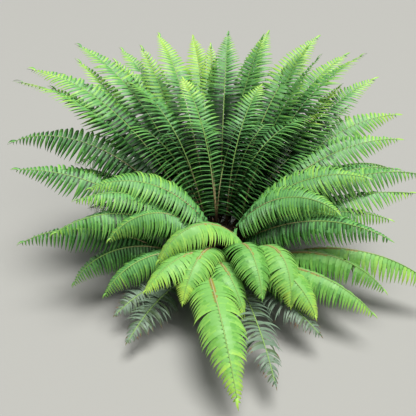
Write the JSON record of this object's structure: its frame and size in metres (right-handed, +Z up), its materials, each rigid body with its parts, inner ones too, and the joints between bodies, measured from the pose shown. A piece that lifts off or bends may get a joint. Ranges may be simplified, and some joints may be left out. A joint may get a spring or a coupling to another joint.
{
  "type": "sword fern",
  "caption": "Large evergreen fern clump rooted in the ground: long arching fronds of pointed leaflets rise and spread from a low woody rootstock.",
  "frame": {"origin": "middle of the rootstock's flat underside, at ground level", "axes": "+Z up; the side with the low arching fronds faces -Y, and the tall fronds stand towards +Y"},
  "size_m": [1.9461, 1.8673, 1.0194],
  "materials": {
    "frond": "satin leaf green with a faint waxy sheen",
    "young_frond": "satin yellow-green",
    "old_frond": "matt grey-green with brown tips",
    "rootstock": "rough, scaly, dark brown"
  },
  "bodies": {
    "root": {"back_frond_01": "frond", "back_frond_02": "frond", "back_frond_03": "frond", "back_frond_04": "frond", "back_frond_05": "frond", "back_frond_06": "frond", "back_frond_07": "frond", "back_frond_08": "frond", "back_frond_09": "frond", "back_frond_10": "frond", "back_frond_11": "frond", "back_frond_12": "frond", "back_frond_13": "frond", "front_frond_01_fall": "young_frond", "front_frond_01_rise": "young_frond", "front_frond_02": "young_frond", "front_frond_03_fall": "young_frond", "front_frond_03_rise": "young_frond", "front_frond_04_fall": "young_frond", "front_frond_04_rise": "young_frond", "front_frond_05_fall": "young_frond", "front_frond_05_rise": "young_frond", "front_frond_06_fall": "young_frond", "front_frond_06_rise": "young_frond", "front_frond_07": "young_frond", "front_frond_08": "young_frond", "front_frond_09": "young_frond", "front_frond_10": "young_frond", "front_frond_11": "young_frond", "heart_tuft_1": "frond", "heart_tuft_2": "frond", "heart_tuft_3": "frond", "heart_tuft_4": "frond", "left_frond_01": "frond", "left_frond_02": "frond", "left_frond_03": "frond", "left_frond_04": "frond", "left_frond_05": "frond", "left_frond_06": "frond", "left_frond_07": "frond", "left_frond_08": "frond", "left_frond_09": "frond", "old_tuft_1": "old_frond", "old_tuft_2": "old_frond", "rear_tuft_1": "frond", "rear_tuft_2": "frond", "rear_tuft_3": "frond", "rear_tuft_4": "frond", "rear_tuft_5": "frond", "right_frond_01": "frond", "right_frond_02": "frond", "right_frond_03": "frond", "right_frond_04": "frond", "right_frond_05": "frond", "right_frond_06": "frond", "right_frond_07": "frond", "right_frond_08": "frond", "right_frond_09": "frond", "right_frond_10": "frond", "rootstock": "rootstock"}
  },
  "joints": []
}
